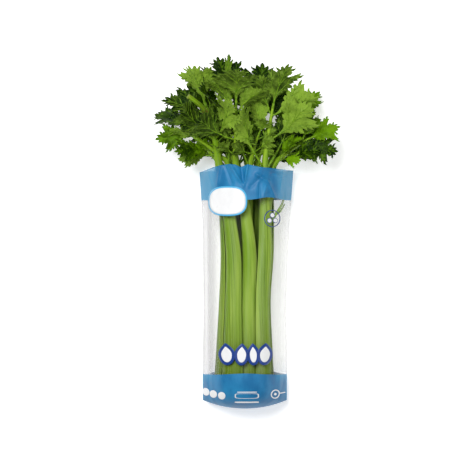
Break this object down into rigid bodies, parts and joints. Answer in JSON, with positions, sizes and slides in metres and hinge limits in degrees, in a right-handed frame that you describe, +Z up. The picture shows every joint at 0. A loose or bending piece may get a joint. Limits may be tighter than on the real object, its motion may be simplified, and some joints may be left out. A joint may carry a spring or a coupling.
{
  "type": "head of celery in a film sleeve",
  "caption": "Head of celery with ribbed leafy stalks, lying in a clear film sleeve with blue printed bands.",
  "frame": {"origin": "in the flat underside of the sleeve, under the head's axis, about midway along the sleeve", "axes": "+Z up from the surface it lies on, +Y from the cut butt to the leaf tips, +X to the right seen from above"},
  "size_m": [0.2411, 0.462, 0.1346],
  "materials": {
    "clear_film": "clear film with printed bands",
    "butt_pale": "moist cut flesh",
    "stalk_green": "waxy, ribbed",
    "leaf_green": "satin leaf"
  },
  "bodies": {
    "root": {"sleeve": "clear_film", "butt": "butt_pale", "stalk_1": "stalk_green", "stalk_2": "stalk_green", "stalk_3": "stalk_green", "stalk_4": "stalk_green", "stalk_5": "stalk_green", "stalk_6": "stalk_green", "stalk_7": "stalk_green", "stalk_8": "stalk_green", "stalk_9": "stalk_green", "stalk_10": "stalk_green", "stalk_11": "stalk_green", "stalk_12": "stalk_green", "leaf_1": "leaf_green", "leaf_2": "leaf_green", "leaf_3": "leaf_green", "leaf_4": "leaf_green", "leaf_5": "leaf_green", "leaf_6": "leaf_green", "leaf_7": "leaf_green", "leaf_8": "leaf_green", "leaf_9": "leaf_green", "leaf_10": "leaf_green", "leaf_11": "leaf_green", "leaf_12": "leaf_green"}
  },
  "joints": []
}
